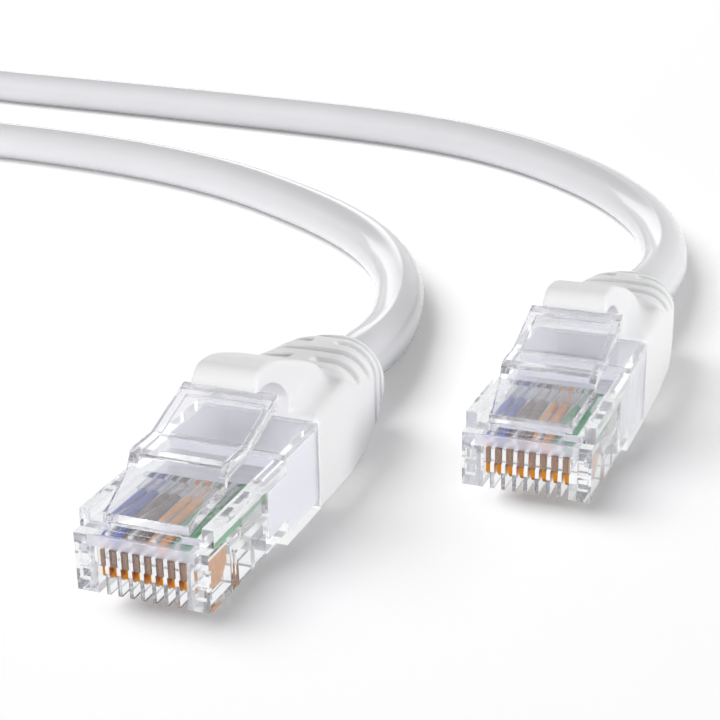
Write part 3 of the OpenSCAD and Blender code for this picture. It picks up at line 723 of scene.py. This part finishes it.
def gold(side):
    made, tree = material(f"gold_plated_bronze_{side}")
    place = add(tree, "ShaderNodeTexCoord").outputs["Object"]
    # Grinding marks 0.1 mm apart that run up the blade
    flat = add(tree, "ShaderNodeMapping", {"Vector": place, "Scale": (1.0, 10.0, 1.0)})
    marks = add(tree, "ShaderNodeTexNoise", {"Vector": flat.outputs[0], "Scale": 1000.0, "Detail": 2.0})
    tint = two_tone(tree, marks.outputs[0], "#B8701C", "#EC9C2E")
    # The front edge is gold low down and painted brown above, as shade behind the plug's clear front wall
    spot = add(tree, "ShaderNodeSeparateXYZ", {"Vector": place})
    front = (PLUG_AT[side][1] + 0.5) * MM
    edge = add(tree, "ShaderNodeMapRange", {
        "Value": spot.outputs["Y"], "From Min": front, "From Max": front + 0.12 * MM,
        "To Min": 1.0, "To Max": 0.0})
    high = add(tree, "ShaderNodeMapRange", {
        "Value": spot.outputs["Z"], "From Min": GOLD_TOP * MM, "From Max": (GOLD_TOP + 0.3) * MM})
    shaded_edge = add(tree, "ShaderNodeMath", {0: edge.outputs[0], 1: high.outputs[0]}, operation="MULTIPLY")
    metal = add(tree, "ShaderNodeMix", {"Factor": shaded_edge.outputs[0]}, data_type="RGBA")
    tree.links.new(tint.outputs[0], metal.inputs[6])
    # Painted shade: the brown of the upper front edge, where it sits behind the clear wall
    metal.inputs[7].default_value = linear("#966A44")
    rough = add(tree, "ShaderNodeMapRange", {"Value": marks.outputs[0], "To Min": 0.2, "To Max": 0.34})
    shader = add(tree, "ShaderNodeBsdfPrincipled", {
        "Base Color": metal.outputs[2], "Metallic": 1.0, "Roughness": rough.outputs[0]})
    output(tree, shader.outputs[0])
    return made


# %% Milky polyethylene: soft white with a violet cast, light glows a little way in
def milky():
    made, tree = material("milky_polyethylene")
    place = add(tree, "ShaderNodeTexCoord").outputs["Object"]
    cloud = add(tree, "ShaderNodeTexNoise", {"Vector": place, "Scale": 200.0, "Detail": 2.0})
    tint = two_tone(tree, cloud.outputs[0], "#E6E5EC", "#EEEDF2")
    rough = add(tree, "ShaderNodeMapRange", {"Value": cloud.outputs[0], "To Min": 0.4, "To Max": 0.55})
    shader = add(tree, "ShaderNodeBsdfPrincipled", {
        "Base Color": tint.outputs[0], "Roughness": rough.outputs[0], "IOR": 1.51,
        "Subsurface Weight": 0.3, "Subsurface Radius": (1.0, 1.0, 1.1), "Subsurface Scale": 0.001})
    output(tree, shader.outputs[0])
    return made


GOLD = {side: gold(side) for side in SIDES}
MILKY = milky()
for name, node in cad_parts.items():
    for start, mat in (("contact_a", GOLD["a"]), ("contact_b", GOLD["b"]),
                       ("cable_seat_", MILKY), ("wire_guide_", CLEAR)):
        if name.startswith(start):
            node.data.materials.clear()
            node.data.materials.append(mat)
print("gold, milky and clear materials are on their solids")

# %% [markdown]
# ## Floor and light
#
# The lead lies on a white sweep in a white studio. Seen by the camera, the
# floor is a little brighter than paper, and brighter still far from the lead,
# so that it fades into the white background. Seen through clear plastic it is
# plain white. One soft panel, high on the left, lights the floor alone and
# casts the shadows at the right. The other panels light the lead and are
# flagged off the floor, so that they cast no second shadow: a faint one
# overhead and low ones in front, on the right, on the left and behind, which
# light the walls of the grooves more than the tops of the rings. Only the
# strip behind shows in shiny surfaces. The world fills the rest, at a plain
# level.

# %% Floor
floor_mesh = bpy.data.meshes.new("floor")
floor_mesh.from_pydata([(-4, -4, 0), (4, -4, 0), (4, 4, 0), (-4, 4, 0)], [], [(0, 1, 2, 3)])
floor = bpy.data.objects.new("floor", floor_mesh)
bpy.context.scene.collection.objects.link(floor)


def studio_floor():
    made, tree = material("white_sweep")
    place = add(tree, "ShaderNodeTexCoord").outputs["Object"]
    cloud = add(tree, "ShaderNodeTexNoise", {"Vector": place, "Scale": 3.0})
    tint = two_tone(tree, cloud.outputs[0], "#F2F2F3", "#F4F4F5")
    matt = add(tree, "ShaderNodeBsdfDiffuse", {"Color": tint.outputs[0]})
    paper = add(tree, "ShaderNodeBsdfDiffuse", {"Color": (1, 1, 1, 1)})
    # The glow grows away from the lead, so that the floor fades into the white background
    away = add(tree, "ShaderNodeVectorMath", {0: place, 1: (-0.1, 0.05, 0)}, operation="DISTANCE")
    power = add(tree, "ShaderNodeMapRange", {
        "Value": away.outputs["Value"], "From Min": 0.25, "From Max": 0.9, "To Min": 0.24, "To Max": 1.0})
    glow = add(tree, "ShaderNodeEmission", {"Color": (1, 1, 1, 1), "Strength": power.outputs[0]})
    both = add(tree, "ShaderNodeAddShader", {0: paper.outputs[0], 1: glow.outputs[0]})
    white = add(tree, "ShaderNodeEmission", {"Color": (1, 1, 1, 1), "Strength": 0.97})
    rays = add(tree, "ShaderNodeLightPath")
    seen = add(tree, "ShaderNodeMath", {
        0: rays.outputs["Is Camera Ray"], 1: rays.outputs["Is Glossy Ray"]}, operation="MAXIMUM")
    plain = add(tree, "ShaderNodeMixShader", {0: seen.outputs[0], 1: matt.outputs[0], 2: both.outputs[0]})
    mix = add(tree, "ShaderNodeMixShader", {
        0: rays.outputs["Is Transmission Ray"], 1: plain.outputs[0], 2: white.outputs[0]})
    output(tree, mix.outputs[0])
    return made


floor_mesh.materials.append(studio_floor())

# %% Sky and lamps
SKY = 0.14
LAMP_AWAY = 2.4

world = bpy.data.worlds.new("studio")
bpy.context.scene.world = world
world.use_nodes = True
sky = world.node_tree
sky.nodes.clear()
rays = add(sky, "ShaderNodeLightPath")
bent = add(sky, "ShaderNodeMath", {
    0: rays.outputs["Is Glossy Ray"], 1: rays.outputs["Is Transmission Ray"]}, operation="MAXIMUM")
# Gloss and clear plastic see a white horizon and a greyer sky above it
aim = add(sky, "ShaderNodeTexCoord").outputs["Generated"]
height = add(sky, "ShaderNodeSeparateXYZ", {"Vector": aim}).outputs["Z"]
fade = add(sky, "ShaderNodeMapRange", {
    "Value": height, "From Min": 0.3, "From Max": 0.45, "To Min": 1.0, "To Max": 0.62})
soft = add(sky, "ShaderNodeMix", {"Factor": bent.outputs[0], "A": SKY, "B": fade.outputs[0]})
all_rays = add(sky, "ShaderNodeMix", {
    "Factor": rays.outputs["Is Camera Ray"], "A": soft.outputs[0], "B": 1.0})
shine = add(sky, "ShaderNodeBackground", {"Color": (1, 1, 1, 1), "Strength": all_rays.outputs[0]})
add(sky, "ShaderNodeOutputWorld", {"Surface": shine.outputs[0]})


def flag(lamp, name, state):
    """Keeps a lamp's light on the floor alone, or off it, as a black flag does in a studio."""
    lit = bpy.data.collections.new(name + "_flag")
    lit.objects.link(floor)
    lit.collection_objects[0].light_linking.link_state = state
    lamp.light_linking.receiver_collection = lit


def panel(name, turn, rise, size, light, floor_light, gloss=False):
    """An area lamp LAMP_AWAY metres off that faces the lead, turned clockwise from +Y and
    raised above the floor, in degrees. Light is what it gives a surface that faces it, as a
    share of full white: the power is pi squared times the distance squared, times that. With
    floor_light it lights the floor alone, otherwise all but the floor. Only a lamp with gloss
    is seen in shiny surfaces."""
    turn, rise = np.radians(turn), np.radians(rise)
    back = np.array([np.sin(turn) * np.cos(rise), np.cos(turn) * np.cos(rise), np.sin(rise)])
    beside = np.array([-np.cos(turn), np.sin(turn), 0.0])
    lamp = bpy.data.lights.new(name, "AREA")
    lamp.shape = "RECTANGLE"
    lamp.size, lamp.size_y = size
    lamp.energy = float(np.pi**2 * LAMP_AWAY**2 * light)
    made = bpy.data.objects.new(name, lamp)
    made.visible_glossy = gloss
    made.visible_transmission = False
    bpy.context.scene.collection.objects.link(made)
    placing = np.identity(4)
    placing[:3, :3] = np.column_stack([beside, np.cross(back, beside), back])
    placing[:3, 3] = LAMP_AWAY * back
    made.matrix_world = placing.T.tolist()
    flag(made, name, "INCLUDE" if floor_light else "EXCLUDE")


panel("shadow_panel", -83, 52, (1.8, 1.8), 0.91, True)
panel("top_panel", -20, 80, (1.6, 1.6), 0.21, False)
panel("back_panel", -2, 24, (1.6, 0.8), 0.42, False)
panel("left_panel", -95, 24, (1.6, 0.8), 0.2, False)
panel("front_panel", 194, 10, (1.6, 0.6), 0.63, False)
panel("side_panel", 103, 9, (1.6, 0.6), 0.72, False)
panel("back_strip", -34.5, 13.5, (1.6, 0.5), 0.064, False, gloss=True)
print("sky at", SKY)

# %% [markdown]
# ## Finish
#
# The view transform is Standard, so that white stays white.

# %% Finish
bpy.context.scene.view_settings.view_transform = "Standard"
# Light turns many times inside clear plastic before it leaves it again
light_paths = bpy.context.scene.cycles
light_paths.max_bounces = 32
light_paths.glossy_bounces = 28
light_paths.transmission_bounces = 28
light_paths.transparent_max_bounces = 28
